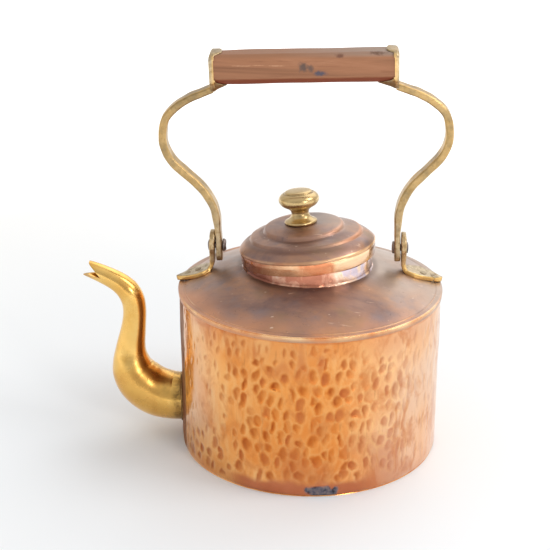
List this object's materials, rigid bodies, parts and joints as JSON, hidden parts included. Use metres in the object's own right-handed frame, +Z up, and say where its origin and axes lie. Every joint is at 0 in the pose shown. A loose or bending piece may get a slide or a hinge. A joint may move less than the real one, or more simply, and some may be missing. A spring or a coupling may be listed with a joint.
{
  "type": "kettle with swinging bail",
  "caption": "Hammered copper drum kettle with a brass gooseneck spout, a lift-off stepped lid and a swinging brass bail with a wooden grip.",
  "frame": {"origin": "centre of the drum's underside, where it rests, on the drum's own axis", "axes": "+Z up along the drum's axis; -X towards the spout; the bail swings about an axis along X; -Y is the side with the spout on the left"},
  "size_m": [0.2555, 0.1862, 0.287],
  "materials": {
    "hammered_copper": "hammered and polished",
    "bright_copper": "polished, lightly streaked",
    "aged_copper": "brown patina, rubbed",
    "base_copper": "dull, heat-stained",
    "polished_brass": "polished",
    "aged_brass": "satin, tarnished",
    "plate_brass": "satin, olive tarnish",
    "rivet_brass": "dark tarnish",
    "grip_wood": "worn, oiled"
  },
  "bodies": {
    "kettle": {"body_wall": "hammered_copper", "base_plate": "base_copper", "shoulder_plate": "aged_copper", "neck_collar": "bright_copper", "spout": "polished_brass", "lug_left": "aged_brass", "lug_right": "aged_brass", "foot_rivet_left_inner": "rivet_brass", "foot_rivet_left_outer": "rivet_brass", "foot_rivet_right_inner": "rivet_brass", "foot_rivet_right_outer": "rivet_brass", "pivot_rivet_left": "rivet_brass", "pivot_rivet_right": "rivet_brass"},
    "lid": {"lid_dome": "aged_copper", "lid_skirt": "bright_copper", "lid_knob": "polished_brass", "knob_stud": "rivet_brass", "knob_washer": "rivet_brass"},
    "bail": {"bail_arm_left": "aged_brass", "bail_arm_right": "aged_brass", "grip_bar": "grip_wood", "grip_plate_left": "plate_brass", "grip_plate_right": "plate_brass", "grip_rod": "rivet_brass", "grip_nail": "rivet_brass"}
  },
  "joints": [
    {"name": "bail_swing", "type": "hinge", "parent": "kettle", "child": "bail", "pos_m": [-0.0019, 0.006, 0.1446], "axis": [1, 0, 0], "range_deg": [-100, 100]},
    {"name": "lid_lift", "type": "slide", "parent": "kettle", "child": "lid", "axis": [-0.0944, 0.0616, 0.9936], "range_m": [0, 0.05]}
  ]
}
